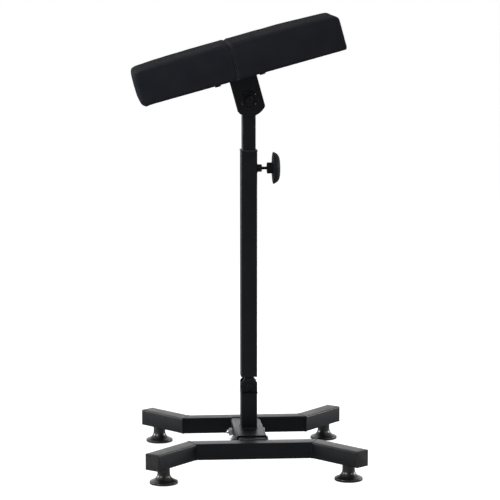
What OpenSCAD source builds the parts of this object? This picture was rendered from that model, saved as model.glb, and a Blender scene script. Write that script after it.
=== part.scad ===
// Tattoo arm rest stand: a tilting padded rest on a telescoping square column.
// The column folds on a stub post that is bolted to a base of two bent legs.
// Millimetres, +Z up, +X to the right, +Y to the back.
// The origin lies on the floor, right below the axis of the column.

/* [Base legs] */
// outer width of the square tubes of the base, the post and the column
tube_w = 30; // [20:1:50]
// wall of the square tubes
tube_wall = 1.5; // [1:0.5:3]
// distance between the centre lines of the two legs
leg_spacing = 225; // [180:1:280]
// half the length of a leg's straight middle, on its outer side
leg_half = 105; // [80:1:140]
// angle by which each arm turns outwards
arm_angle = 49.5; // [30:0.5:60]
// length of a front arm with its cap, on its outer side
arm_len = 112; // [75:1:150]
// length of a rear arm with its cap, on its outer side
rear_arm_len = 101; // [75:1:150]
// plate of the plastic cap on an arm's end
cap_t = 2.5; // [1:0.5:5]
// reach of the cap's plug into the tube
cap_plug = 14; // [8:1:25]
// wall of the cap's hollow plug
cap_wall = 2; // [1:0.5:4]

/* [Feet] */
// height of a foot from the floor to the tube
foot_h = 29; // [24:1:40]
// largest diameter of a foot
foot_d = 51; // [30:1:70]
// height of the straight rim at the bottom of a foot
foot_rim = 4.5; // [2:0.5:8]
// height at which the foot's bell meets its neck
foot_bell = 15; // [8:1:20]
// diameter of a foot's neck
foot_neck_d = 22.5; // [15:0.5:35]
// distance of a foot's axis from the end of its arm
foot_back = 34; // [20:1:50]
// diameter of a foot's threaded stud
stud_d = 8; // [5:1:12]
// length of the stud above the underside of the tube
stud_up = 24; // [15:1:27]
// length of the stud inside the foot
stud_in = 18; // [8:1:22]

/* [Cross tube and saddle] */
// width of the flat tube that joins the two legs
cross_w = 50; // [40:1:70]
// wall of the flat tube
cross_wall = 2; // [1:0.5:4]
// sheet of the folded saddle over the flat tube
saddle_t = 3; // [2:0.5:5]
// reach of the saddle in front of the column's axis
saddle_front = 75.5; // [50:0.5:90]
// reach of the saddle behind the column's axis
saddle_rear = 68; // [50:0.5:90]
// height of the saddle's side flanges, from its top
saddle_drop = 20; // [12:0.5:30]
// outer radius of the saddle's bends
saddle_bend = 4; // [3:0.5:8]
// distance of the front cross bolt from the column's axis
saddle_bolt_front = 35; // [25:1:60]
// distance of the rear cross bolt from the column's axis
saddle_bolt_rear = 37; // [25:1:60]
// depth of the cross bolts below the top of the flat tube
saddle_bolt_drop = 14; // [8:0.5:20]

/* [Bolts] */
// thread diameter of the bolts
bolt_d = 8; // [5:1:12]
// width across the flats of bolt heads and nuts
hex_w = 13; // [8:0.5:19]
// height of a bolt's head
head_h = 5.5; // [3:0.5:8]
// height of a nut
nut_h = 6.5; // [4:0.5:10]
// thread that stands out of a nut
bolt_tail = 3.5; // [1:0.5:8]
// outer diameter of a washer
washer_d = 16; // [12:0.5:24]
// sheet of a washer
washer_t = 1.6; // [1:0.1:3]

/* [Post and fold hinge] */
// length of the stub post above the saddle
post_h = 67; // [40:1:120]
// sheet of the fork on top of the post
fork_t = 3; // [2:0.5:5]
// outer radius of the fork's bends
fork_bend = 4; // [3.5:0.5:8]
// radius of the fork's rounded cheeks
fork_r = 17; // [15:0.5:20]
// height of the fold pivot above the post's end
fold_rise = 11.5; // [10:0.5:16]
// width of the tongue between the fork's cheeks
tongue_w = 16; // [12:0.5:17]
// height of the column's lower end above the fold pivot
column_gap = 19.1; // [19:0.1:30]
// recess of the tongue's plug inside the column
plug_recess = 1.5; // [0.5:0.5:4]
// length of the tongue's plug inside the column
plug_h = 32; // [15:1:60]

/* [Column] */
// length of the column's outer tube
column_len = 420.8; // [300:0.2:600]
// outer width of the sliding inner tube
inner_w = 25; // [18:0.5:45]
// wall of the inner tube
inner_wall = 1.5; // [1:0.5:3]
// reach of the inner tube down into the column
inner_reach = 277; // [240:1:320]
// reach of the inner tube above the tilt pivot
inner_head = 24; // [18:1:30]
// height of the plastic collar on the column's end
collar_h = 2.8; // [2:0.2:8]
// overhang of the collar beyond the tube's sides
collar_out = 0.5; // [0.2:0.1:3]
// length of the collar's skirt inside the column
collar_skirt = 24; // [10:1:25]
// height of the plastic glide's foot below the inner tube
glide_h = 4; // [2:0.5:10]
// length of the glide's plug inside the inner tube
glide_plug = 16; // [8:1:30]

/* [Clamp knob] */
// depth of the clamp's axis below the column's end
knob_drop = 31.9; // [30:0.1:60]
// diameter of the boss's weld flare on the tube
flare_d = 21.5; // [16:0.5:28]
// height of the weld flare
flare_h = 2; // [1:0.5:5]
// diameter of the threaded boss
boss_d = 14; // [10:0.5:20]
// reach of the boss out of the tube's side
boss_len = 9.2; // [5:0.2:20]
// thread diameter of the clamp screw
screw_d = 6; // [4:0.5:8]
// bare length of the screw between boss and knob
screw_show = 9.7; // [4:0.1:20]
// depth of the screw inside the knob
screw_in = 16; // [8:1:20]
// length of the clamp's plastic shoe
shoe_len = 5.5; // [3:0.5:8]
// diameter of the knob's hub
knob_hub_d = 20.6; // [12:0.2:30]
// length of the knob's hub
knob_hub_len = 11; // [3:0.5:15]
// diameter of the knob's head
knob_d = 59; // [40:1:80]
// thickness of the knob's domed head
knob_t = 13; // [10:0.5:30]

/* [Tilt joint] */
// height of the tilt pivot above the column's end
tilt_rise = 96.5; // [94:0.5:160]
// tilt of the pad, right end up
pad_tilt = 15.4; // [-60:0.1:60]
// sheet of the bracket under the pad
bracket_t = 3; // [2:0.5:5]
// width of the bracket along the pad
bracket_w = 50; // [36:1:70]
// height of the bracket's top above the tilt pivot
bracket_h = 44; // [41:0.5:60]
// outer radius of the bracket's bends
bracket_bend = 4; // [3.5:0.5:8]
// radius of the bracket's lower end about the tilt pivot
bracket_r = 32; // [28:0.5:33]
// radius of the toothed hub discs
hub_r = 15.6; // [13:0.1:18]
// number of teeth on a hub disc
hub_teeth = 18; // [12:1:36]
// depth of the notches between the teeth
hub_notch = 1.8; // [0.5:0.1:3]
// width of the notches between the teeth
hub_notch_w = 2.6; // [1:0.1:3]
// outer diameter of the sleeve around the tilt bolt
sleeve_d = 13; // [10:0.5:20]

/* [Pad] */
// length of the pad
pad_l = 384; // [250:1:500]
// distance of the pad's middle from the bracket's, to the left
pad_shift = 2.2; // [0:0.1:60]
// depth of the pad, front to back
pad_d = 197; // [120:1:260]
// thickness of the pad
pad_t = 64; // [40:1:90]
// radius of the pad's two front upright corners
pad_corner = 6.5; // [3:0.5:40]
// radius of the pad's two rear upright corners
pad_rear_corner = 18; // [12:1:40]
// outward bow of the pad's long sides
pad_bow = 1.5; // [0:0.5:6]
// fall of the pad's top towards both its ends
pad_fall = 1.8; // [0:0.1:6]
// half the length of the level middle of the pad's top
pad_level = 60; // [20:1:100]
// distance of the side seam from the pad's middle, to the left
seam_off = 8; // [0:1:100]
// half the width of the side seam's furrow
seam_half = 4; // [2:0.5:10]
// depth of the side seam's furrow
seam_deep = 1.6; // [0:0.1:3]
// thickness of the cover on the foam
cover_t = 2; // [1:0.5:5]
// width of the cover's hem under the board
hem_w = 30; // [15:1:60]
// thickness of the hem and the backing sheet
hem_t = 1.5; // [1:0.5:3]
// thickness of the plywood board
board_t = 12; // [8:1:20]
// inset of the board from the pad's outline
board_in = 4; // [3:0.5:10]
// thickness of the steel plate under the pad
plate_t = 3; // [2:0.5:6]
// length of the plate along the pad
plate_w = 104; // [100:1:200]
// length of the plate, front to back
plate_d = 112; // [104:1:180]
// distance of the plate's middle from the bracket's, to the left
plate_shift = 8; // [0:1:20]
// distance between the pad screws along the pad
pad_screw_u = 84; // [70:1:90]
// distance between the pad screws, front to back
pad_screw_y = 90; // [60:1:94]
// thread diameter of the pad screws
pad_screw_d = 6; // [4:0.5:8]
// width across the flats of a pad screw's head
pad_hex_w = 10; // [8:0.5:13]
// height of a pad screw's head
pad_head_h = 4.2; // [2:0.1:6]
// diameter of a tee nut's flange
tee_d = 19; // [14:0.5:25]
// thickness of a tee nut's flange
tee_t = 1.2; // [0.8:0.1:2]
// diameter of a tee nut's barrel
tee_barrel_d = 8; // [7:0.5:12]
// length of a tee nut's barrel
tee_barrel = 8; // [5:0.5:10]

/* [Hidden] */
$fn = 64;
// radial clearance of turning and sliding round parts
run_fit = 0.05;
// clearance of the square glides and of the collar
glide_fit = 0.1;
// gap between flat faces that turn past each other
face_gap = 0.3;
// gap beside the fold tongue
tongue_gap = 0.2;
// oversize of a plain bolt hole
hole_extra = 0.4;
// overrun of a cut beyond the faces it opens
overrun = 1;

mitre = tan(arm_angle / 2);
leg_out = leg_spacing / 2 + tube_w / 2;
leg_in = leg_spacing / 2 - tube_w / 2;
tube_top = foot_h + tube_w;
saddle_top = tube_top + saddle_t;
saddle_w = cross_w + 2 * saddle_t;
bolt_z = tube_top - saddle_bolt_drop;
post_top = saddle_top + post_h;
fold_z = post_top + fold_rise;
column_z = fold_z + column_gap;
column_top = column_z + column_len;
bore_w = tube_w - 2 * tube_wall;
inner_bore = inner_w - 2 * inner_wall;
inner_low = column_top - inner_reach;
knob_z = column_top - knob_drop;
shoe_x = inner_w / 2 + glide_fit;
hub_x = tube_w / 2 + boss_len + screw_show;
tilt_z = column_top + tilt_rise;
cheek_in = inner_w / 2 + face_gap;
cheek_out = cheek_in + bracket_t;
under_v = bracket_h + plate_t;
board_v = under_v + hem_t;
foam_v = board_v + board_t;
tongue_t = tube_w - 2 * fork_t - 2 * tongue_gap;

// the foot's bell, from its rim up to its neck
bell_r_shares = [1, 0.72, 0.42, 0.2, 0.06, 0];
bell_z_shares = [0, 0.16, 0.36, 0.6, 0.84, 1];
// the knob's domed head, from its flat back to its crown
dome_r_shares = [0.97, 1, 0.995, 0.966, 0.935, 0.897, 0.84, 0.76, 0.66, 0.5, 0.25, 0];
dome_x_shares = [0, 0.05, 0.14, 0.28, 0.41, 0.55, 0.68, 0.81, 0.9, 0.96, 0.99, 1];
// the pad's outside: inset and height over its underside, in pad thicknesses
pad_in_shares = [0.3, 0.03, 0.008, 0, -0.002, -0.003, -0.002, 0, 0.0134, 0.052, 0.109, 0.177,
  0.301, 0.488, 0.738, 1.045, 2.15];
pad_up_shares = [0, 0, 0.03, 0.1, 0.28, 0.48, 0.68, 0.803, 0.865, 0.917, 0.952, 0.9645,
  0.975, 0.986, 0.993, 0.998, 1];
// the foam inside it, from the board up
foam_in_shares = [0.02, 0.002, 0.002, 0.006, 0.022, 0.055, 0.105, 0.17, 0.3, 0.738, 2.05];
foam_up_shares = [0, 0.25, 0.6, 0.782, 0.86, 0.912, 0.945, 0.958, 0.972, 0.99, 1];
// shares of an inset that the pad's front side and its right end take
front_share = 0.37;
right_share = 0.13;
// the pad's side stations, as shares of the straight half side
side_shares = [-0.7, -0.35, 0.3, 0.65];
end_shares = [-0.5, 0, 0.5];
// turn of the points on a corner, in steps of a quarter turn
corner_shares = [0, 0.25, 0.5, 0.75, 1];

// Shared shapes

module square_tube(w, wall, len) {
  difference() {
    translate([-w / 2, -w / 2, 0])
      cube([w, w, len]);
    translate([wall - w / 2, wall - w / 2, -overrun])
      cube([w - 2 * wall, w - 2 * wall, len + 2 * overrun]);
  }
}

module bar(w, len) {
  translate([-w / 2, -w / 2, 0])
    cube([w, w, len]);
}

module hex(width, height) {
  cylinder(r = width / 2 / cos(30), h = height, $fn = 6);
}

// a block, rounded along X at its two lower edges
module folded_block(len, half_w, low, high, bend) {
  translate([-len / 2, -half_w, low + bend])
    cube([len, 2 * half_w, high - low - bend]);
  translate([-len / 2, bend - half_w, low])
    cube([len, 2 * half_w - 2 * bend, bend]);
  for (side = [-1, 1])
    translate([-len / 2, side * (half_w - bend), low + bend])
      rotate([0, 90, 0])
        cylinder(r = bend, h = len);
}

// a bolt with a hex head, its seat at zero and its shank along +Z
module hex_bolt(grip, tail) {
  translate([0, 0, -head_h])
    hex(hex_w, head_h);
  cylinder(d = bolt_d, h = grip + nut_h + tail);
}

module hex_nut(bore_d) {
  difference() {
    hex(hex_w, nut_h);
    translate([0, 0, -overrun])
      cylinder(d = bore_d, h = nut_h + 2 * overrun);
  }
}

// Base legs

module leg_outline(trim) {
  reach = trim > 0 ? overrun : 0;
  polygon([
    [-leg_half - trim * mitre - reach, leg_out - trim],
    [leg_half + trim * mitre + reach, leg_out - trim],
    [leg_half + (tube_w - trim) * mitre + reach, leg_in + trim],
    [-leg_half - (tube_w - trim) * mitre - reach, leg_in + trim]
  ]);
}

module leg_beam() {
  difference() {
    translate([0, 0, foot_h])
      linear_extrude(height = tube_w)
        leg_outline(0);
    translate([0, 0, foot_h + tube_wall])
      linear_extrude(height = bore_w)
        leg_outline(tube_wall);
  }
}

function arm_reach(flip_y) = flip_y > 0 ? arm_len : rear_arm_len;

// one arm in its own frame: its outer side along X, the tube towards -Y
module arm_outline(len, trim) {
  reach = trim > 0 ? overrun : 0;
  polygon([
    [-trim * mitre - reach, -trim],
    [len + reach, -trim],
    [len + reach, trim - tube_w],
    [-(tube_w - trim) * mitre - reach, trim - tube_w]
  ]);
}

module at_arm(flip_x, flip_y) {
  mirror([flip_x, 0, 0])
    mirror([0, flip_y, 0])
      translate([leg_half, leg_out, foot_h])
        rotate([0, 0, arm_angle])
          children();
}

module at_foot(flip_x, flip_y) {
  at_arm(flip_x, flip_y)
    translate([arm_reach(flip_y) - foot_back, -tube_w / 2, 0])
      children();
}

module arm(flip_x, flip_y) {
  len = arm_reach(flip_y) - cap_t;
  difference() {
    at_arm(flip_x, flip_y)
      difference() {
        linear_extrude(height = tube_w)
          arm_outline(len, 0);
        translate([0, 0, tube_wall])
          linear_extrude(height = bore_w)
            arm_outline(len, tube_wall);
      }
    at_foot(flip_x, flip_y)
      translate([0, 0, -overrun])
        cylinder(d = stud_d + 2 * run_fit, h = tube_wall + 2 * overrun);
  }
}

module cap(flip_x, flip_y) {
  at_arm(flip_x, flip_y)
    translate([arm_reach(flip_y) - cap_t, -tube_w / 2, tube_w / 2])
      rotate([0, 90, 0]) {
        bar(tube_w, cap_t);
        translate([0, 0, -cap_plug])
          difference() {
            bar(bore_w, cap_plug);
            translate([0, 0, -overrun])
              bar(bore_w - 2 * cap_wall, cap_plug + overrun);
          }
      }
}

// Feet

module stud(flip_x, flip_y) {
  at_foot(flip_x, flip_y)
    translate([0, 0, -stud_in])
      cylinder(d = stud_d, h = stud_in + stud_up);
}

module foot(flip_x, flip_y) {
  neck_r = foot_neck_d / 2;
  flare = foot_d / 2 - neck_r;
  rise = foot_bell - foot_rim;
  edge = [for (i = [0:len(bell_r_shares) - 1])
    [neck_r + flare * bell_r_shares[i], foot_rim + rise * bell_z_shares[i]]];
  at_foot(flip_x, flip_y)
    translate([0, 0, -foot_h])
      difference() {
        rotate_extrude()
          polygon(concat([[0, 0], [foot_d / 2, 0]], edge, [[neck_r, foot_h], [0, foot_h]]));
        translate([0, 0, foot_h - stud_in - run_fit])
          cylinder(d = stud_d + 2 * run_fit, h = stud_in + run_fit + overrun);
      }
}

module foot_weld_nuts() {
  color("silver")
    for (flip_x = [0, 1], flip_y = [0, 1])
      at_foot(flip_x, flip_y)
        translate([0, 0, tube_wall])
          hex_nut(stud_d + 2 * run_fit);
}

// Cross tube and saddle

module cross_holes(reach) {
  for (y = [-saddle_bolt_front, saddle_bolt_rear])
    translate([-reach, y, bolt_z])
      rotate([0, 90, 0])
        cylinder(d = bolt_d + hole_extra, h = 2 * reach);
}

module cross_tube() {
  color("dimgray")
    difference() {
      translate([-cross_w / 2, -leg_in, foot_h])
        cube([cross_w, 2 * leg_in, tube_w]);
      translate([cross_wall - cross_w / 2, -leg_in - overrun, foot_h + cross_wall])
        cube([cross_w - 2 * cross_wall, 2 * leg_in + 2 * overrun, tube_w - 2 * cross_wall]);
      cross_holes(cross_w);
    }
}

module saddle() {
  span = saddle_front + saddle_rear;
  color("dimgray")
    difference() {
      translate([0, (saddle_rear - saddle_front) / 2, 0])
        rotate([0, 0, 90])
          rotate([180, 0, 0])
            folded_block(span, saddle_w / 2, -saddle_top, saddle_drop - saddle_top, saddle_bend);
      translate([-cross_w / 2, -saddle_front - overrun, tube_top - saddle_drop])
        cube([cross_w, span + 2 * overrun, saddle_drop]);
      cross_holes(cross_w);
    }
}

module saddle_bolts() {
  color("silver")
    for (y = [-saddle_bolt_front, saddle_bolt_rear])
      translate([saddle_w / 2, y, bolt_z])
        rotate([0, -90, 0])
          hex_bolt(saddle_w, bolt_tail);
}

module saddle_nuts() {
  color("silver")
    for (y = [-saddle_bolt_front, saddle_bolt_rear])
      translate([-saddle_w / 2, y, bolt_z])
        rotate([0, -90, 0])
          hex_nut(bolt_d);
}

// Post and fold hinge

module along_y(z) {
  translate([0, 0, z])
    rotate([90, 0, 0])
      children();
}

module post_stub() {
  color("dimgray")
    translate([0, 0, saddle_top])
      square_tube(tube_w, tube_wall, post_h);
}

module fold_fork() {
  top = fold_z + fork_r;
  color("dimgray")
    difference() {
      intersection() {
        folded_block(tube_w, tube_w / 2, post_top, top, fork_bend);
        union() {
          translate([-tube_w / 2, -tube_w / 2, post_top])
            cube([tube_w, tube_w, fold_rise]);
          along_y(fold_z)
            cylinder(r = fork_r, h = tube_w, center = true);
        }
      }
      translate([-tube_w, fork_t - tube_w / 2, post_top + fork_t])
        cube([2 * tube_w, tube_w - 2 * fork_t, top]);
      along_y(fold_z)
        cylinder(d = bolt_d, h = 2 * tube_w, center = true);
    }
}

module fold_washers() {
  color("silver")
    for (side = [-1, 1])
      along_y(fold_z)
        translate([0, 0, side * (tube_w + washer_t) / 2])
          difference() {
            cylinder(d = washer_d, h = washer_t, center = true);
            cylinder(d = bolt_d, h = washer_t + 2 * overrun, center = true);
          }
}

module fold_bolt() {
  color("silver")
    translate([0, -tube_w / 2 - washer_t, fold_z])
      rotate([-90, 0, 0])
        hex_bolt(tube_w + 2 * washer_t, bolt_tail);
}

module fold_nut() {
  color("silver")
    translate([0, tube_w / 2 + washer_t, fold_z])
      rotate([-90, 0, 0])
        hex_nut(bolt_d);
}

// Column

module fold_tongue() {
  color("dimgray")
    difference() {
      union() {
        along_y(fold_z)
          cylinder(d = tongue_w, h = tongue_t, center = true);
        translate([-tongue_w / 2, -tongue_t / 2, fold_z])
          cube([tongue_w, tongue_t, column_gap + plug_recess]);
        translate([0, 0, column_z + plug_recess])
          bar(bore_w, plug_h);
      }
      along_y(fold_z)
        cylinder(d = bolt_d + 2 * run_fit, h = tube_w, center = true);
    }
}

module column_tube() {
  color("dimgray")
    difference() {
      translate([0, 0, column_z])
        square_tube(tube_w, tube_wall, column_len);
      translate([inner_w / 2, 0, knob_z])
        rotate([0, 90, 0])
          cylinder(d = screw_d + 2 * run_fit, h = tube_w);
    }
}

module column_collar() {
  skirt_w = bore_w;
  color("black")
    translate([0, 0, column_top])
      difference() {
        union() {
          bar(tube_w + 2 * collar_out, collar_h);
          translate([0, 0, -collar_skirt])
            bar(skirt_w, collar_skirt);
        }
        translate([0, 0, -collar_skirt - overrun])
          bar(inner_w + 2 * glide_fit, collar_skirt + collar_h + 2 * overrun);
      }
}

module clamp_boss() {
  color("dimgray")
    translate([tube_w / 2, 0, knob_z])
      rotate([0, 90, 0])
        difference() {
          union() {
            cylinder(d1 = flare_d, d2 = boss_d, h = flare_h);
            cylinder(d = boss_d, h = boss_len);
          }
          translate([0, 0, -overrun])
            cylinder(d = screw_d + 2 * run_fit, h = boss_len + 2 * overrun);
        }
}

// Clamp knob

module clamp_shoe() {
  color("white")
    translate([shoe_x, 0, knob_z])
      rotate([0, 90, 0])
        cylinder(d = screw_d, h = shoe_len);
}

module clamp_screw() {
  start = shoe_x + shoe_len + run_fit;
  color("silver")
    translate([start, 0, knob_z])
      rotate([0, 90, 0])
        cylinder(d = screw_d, h = hub_x + screw_in - start);
}

module clamp_knob() {
  edge = [for (i = [0:len(dome_r_shares) - 1])
    [knob_d / 2 * dome_r_shares[i], knob_hub_len + knob_t * dome_x_shares[i]]];
  color("black")
    translate([hub_x, 0, knob_z])
      rotate([0, 90, 0])
        difference() {
          rotate_extrude()
            polygon(concat([[0, 0], [knob_hub_d / 2, 0], [knob_hub_d / 2, knob_hub_len]], edge));
          translate([0, 0, -overrun])
            cylinder(d = screw_d, h = screw_in + overrun);
        }
}

// Inner tube and tilt joint

module inner_tube() {
  color("black")
    difference() {
      translate([0, 0, inner_low])
        square_tube(inner_w, inner_wall, tilt_z + inner_head - inner_low);
      along_y(tilt_z)
        cylinder(d = bolt_d, h = 2 * inner_w, center = true);
    }
}

module inner_glide() {
  color("white")
    translate([0, 0, inner_low])
      difference() {
        union() {
          translate([0, 0, -glide_h])
            bar(bore_w - 2 * glide_fit, glide_h);
          bar(inner_bore, glide_plug);
        }
        translate([0, 0, -glide_h - overrun])
          bar(inner_bore - 2 * cap_wall, glide_h + glide_plug + 2 * overrun);
      }
}

module tilt_hubs() {
  color("silver")
    for (side = [-1, 1])
      along_y(tilt_z)
        translate([0, 0, side * (inner_w / 2 + cheek_out) / 2])
          difference() {
            cylinder(r = hub_r, h = cheek_out - inner_w / 2, center = true);
            cylinder(d = bolt_d, h = inner_w, center = true);
            for (i = [0:hub_teeth - 1])
              rotate([0, 0, 360 * i / hub_teeth])
                translate([hub_r - hub_notch, -hub_notch_w / 2, -inner_w / 2])
                  cube([hub_notch + overrun, hub_notch_w, inner_w]);
          }
}

module tilt_sleeve() {
  color("silver")
    along_y(tilt_z)
      difference() {
        cylinder(d = sleeve_d, h = inner_bore, center = true);
        cylinder(d = bolt_d, h = inner_w, center = true);
      }
}

module tilt_bolt() {
  color("dimgray")
    translate([0, -cheek_out, tilt_z])
      rotate([-90, 0, 0])
        hex_bolt(2 * cheek_out, bolt_tail);
}

module tilt_nut() {
  color("dimgray")
    translate([0, cheek_out, tilt_z])
      rotate([-90, 0, 0])
        hex_nut(bolt_d);
}

// Pad: its frame has X along the pad, Z across it, and lies at the tilt pivot

module at_pad() {
  translate([0, 0, tilt_z])
    rotate([0, -pad_tilt, 0])
      children();
}

// the cushion's own middle in that frame
module at_cushion() {
  at_pad()
    translate([-pad_shift, 0, 0])
      children();
}

module at_screws(v) {
  for (u = [-pad_screw_u / 2, pad_screw_u / 2], y = [-pad_screw_y / 2, pad_screw_y / 2])
    translate([u - plate_shift, y, v])
      children();
}

module pad_bracket() {
  color("dimgray")
    at_pad()
      difference() {
        intersection() {
          rotate([180, 0, 0])
            folded_block(bracket_w, cheek_out, -bracket_h, bracket_r, bracket_bend);
          union() {
            translate([-bracket_w / 2, -cheek_out, 0])
              cube([bracket_w, 2 * cheek_out, bracket_h]);
            rotate([90, 0, 0])
              cylinder(r = bracket_r, h = 2 * cheek_out, center = true);
          }
        }
        translate([-bracket_w, -cheek_in, -bracket_w])
          cube([2 * bracket_w, 2 * cheek_in, bracket_w + bracket_h - bracket_t]);
        rotate([90, 0, 0])
          cylinder(r = hub_r + run_fit, h = 4 * cheek_out, center = true);
      }
}

module pad_plate() {
  color("dimgray")
    at_pad()
      difference() {
        translate([-plate_w / 2 - plate_shift, -plate_d / 2, bracket_h])
          cube([plate_w, plate_d, plate_t]);
        at_screws(bracket_h - overrun)
          cylinder(d = pad_screw_d + hole_extra, h = plate_t + 2 * overrun);
      }
}

module pad_screws() {
  color("silver")
    at_pad()
      at_screws(bracket_h) {
        translate([0, 0, -pad_head_h])
          hex(pad_hex_w, pad_head_h);
        cylinder(d = pad_screw_d, h = foam_v - bracket_h);
      }
}

module pad_tee_nuts() {
  color("silver")
    at_pad()
      at_screws(foam_v)
        difference() {
          union() {
            translate([0, 0, -tee_t])
              cylinder(d = tee_d, h = tee_t);
            translate([0, 0, -tee_barrel])
              cylinder(d = tee_barrel_d, h = tee_barrel);
          }
          translate([0, 0, -tee_barrel - overrun])
            cylinder(d = pad_screw_d, h = tee_barrel + 2 * overrun);
        }
}

// a flat slab under the cushion, inset from the pad's outline
module slab(inset, base, height) {
  translate([inset - pad_l / 2, inset - pad_d / 2, base])
    cube([pad_l - 2 * inset, pad_d - 2 * inset, height]);
}

// the board's block: its upright corners are rounded about the cushion's corner axes
module board_block() {
  corner = pad_rear_corner - board_in;
  half_u = pad_l / 2 - pad_rear_corner;
  half_y = pad_d / 2 - pad_rear_corner;
  translate([-half_u, board_in - pad_d / 2, board_v])
    cube([2 * half_u, pad_d - 2 * board_in, board_t]);
  translate([board_in - pad_l / 2, -half_y, board_v])
    cube([pad_l - 2 * board_in, 2 * half_y, board_t]);
  for (u = [-half_u, half_u], y = [-half_y, half_y])
    translate([u, y, board_v])
      cylinder(r = corner, h = board_t);
}

module pad_board() {
  color("burlywood")
    difference() {
      at_cushion()
        board_block();
      at_pad() {
        at_screws(board_v - overrun)
          cylinder(d = tee_barrel_d, h = board_t + 2 * overrun);
        at_screws(foam_v - tee_t)
          cylinder(d = tee_d, h = tee_t + overrun);
      }
    }
}

module pad_backing() {
  color("black")
    difference() {
      at_cushion()
        slab(hem_w, under_v, hem_t);
      at_pad()
        at_screws(under_v - overrun)
          cylinder(d = pad_screw_d + hole_extra, h = hem_t + 2 * overrun);
    }
}

// the pad's outline in plan, a skin inside it and drawn in by an inset, of which the
// front side and the right end take a share; the front side is furrowed
function side_bow(a, u) = pad_bow * (1 - (u / a) * (u / a));
function corner_points(a, b, r, sx, sy, turn) = [for (c = corner_shares)
  [sx * (a - r) + r * cos(turn + 90 * c), sy * (b - r) + r * sin(turn + 90 * c)]];
function side_points(a, b, r, way) = [for (s = side_shares)
  let (u = way * s * (a - r)) [u, -way * (b + side_bow(a, u))]];
function seam_points(a, b, seam_u, deep) = [for (k = [-1, 0, 1])
  let (u = seam_u + k * seam_half) [u, -b - side_bow(a, u) + (k == 0 ? deep : 0)]];
function front_points(a, b, r, seam_u, deep) =
  let (all = side_points(a, b, r, 1))
  concat([for (p = all) if (p[0] < seam_u - seam_half) p],
    seam_points(a, b, seam_u, deep),
    [for (p = all) if (p[0] > seam_u + seam_half) p]);
function end_points(a, b, r, way) = [for (s = end_shares)
  [way * a, way * s * (b - r)]];
function pad_outline(skin, inset, deep) =
  let (a = pad_l / 2 - skin - inset * (1 + right_share) / 2,
    b = pad_d / 2 - skin - inset * (1 + front_share) / 2,
    front_r = max(pad_corner - skin - inset * front_share, cover_t),
    rear_r = max(pad_rear_corner - skin - inset, cover_t),
    middle_u = inset * (1 - right_share) / 2,
    middle_y = -inset * (1 - front_share) / 2)
  [for (p = concat(
    corner_points(a, b, front_r, -1, -1, 180),
    front_points(a, b, front_r, -seam_off - middle_u, deep),
    corner_points(a, b, front_r, 1, -1, 270),
    end_points(a, b, rear_r, 1),
    corner_points(a, b, rear_r, 1, 1, 0),
    side_points(a, b, rear_r, -1),
    corner_points(a, b, rear_r, -1, 1, 90),
    end_points(a, b, rear_r, -1))) [p[0] + middle_u, p[1] + middle_y]];

// how far a point falls with its place along the pad, most at the top
function fall_at(u, rise) =
  let (beyond = max(0, abs(u) - pad_level) / (pad_l / 2 - pad_level))
  pad_fall * beyond * beyond * pow(rise / pad_t, 3);

module pad_form(base, height, skin, in_shares, up_shares, deep) {
  last = len(in_shares) - 1;
  rings = [for (i = [0:last])
    let (fade = up_shares[i] <= 0 || in_shares[i] > in_shares[0] ? 0 : 1,
      // the underside stays level
      raised = up_shares[i] <= 0 ? 0 : 1,
      z = base + height * up_shares[i])
    [for (p = pad_outline(skin, pad_t * in_shares[i], deep * fade))
      [p[0], p[1], z - raised * fall_at(p[0], z - under_v)]]];
  n = len(rings[0]);
  // both end faces start on a corner point, in line with none of the sides
  first = 3;
  polyhedron(
    points = [for (ring = rings) for (p = ring) p],
    faces = concat(
      [[for (k = [0:n - 1]) (k + first) % n]],
      [for (i = [0:last - 1]) for (k = [0:n - 1])
        [i * n + k, (i + 1) * n + k, (i + 1) * n + (k + 1) % n, i * n + (k + 1) % n]],
      [[for (k = [0:n - 1]) last * n + (n - 1 - k + first) % n]]));
}

module foam_form() {
  pad_form(foam_v, pad_t - hem_t - board_t - cover_t, cover_t, foam_in_shares, foam_up_shares, 0);
}

module pad_foam() {
  color("khaki")
    at_cushion()
      foam_form();
}

module pad_cover() {
  color("black")
    at_cushion()
      difference() {
        pad_form(under_v, pad_t, 0, pad_in_shares, pad_up_shares, seam_deep);
        foam_form();
        board_block();
        slab(hem_w, under_v - overrun, hem_t + 2 * overrun);
      }
}

// Named pieces of the base

module front_leg_beam() color("dimgray") mirror([0, 1, 0]) leg_beam();
module rear_leg_beam() color("dimgray") leg_beam();
module front_left_arm() color("dimgray") arm(1, 1);
module front_right_arm() color("dimgray") arm(0, 1);
module rear_left_arm() color("dimgray") arm(1, 0);
module rear_right_arm() color("dimgray") arm(0, 0);
module front_left_cap() color("black") cap(1, 1);
module front_right_cap() color("black") cap(0, 1);
module rear_left_cap() color("black") cap(1, 0);
module rear_right_cap() color("black") cap(0, 0);
module front_left_stud() color("silver") stud(1, 1);
module front_right_stud() color("silver") stud(0, 1);
module rear_left_stud() color("silver") stud(1, 0);
module rear_right_stud() color("silver") stud(0, 0);
module front_left_foot() color("black") foot(1, 1);
module front_right_foot() color("black") foot(0, 1);
module rear_left_foot() color("black") foot(1, 0);
module rear_right_foot() color("black") foot(0, 0);

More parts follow.
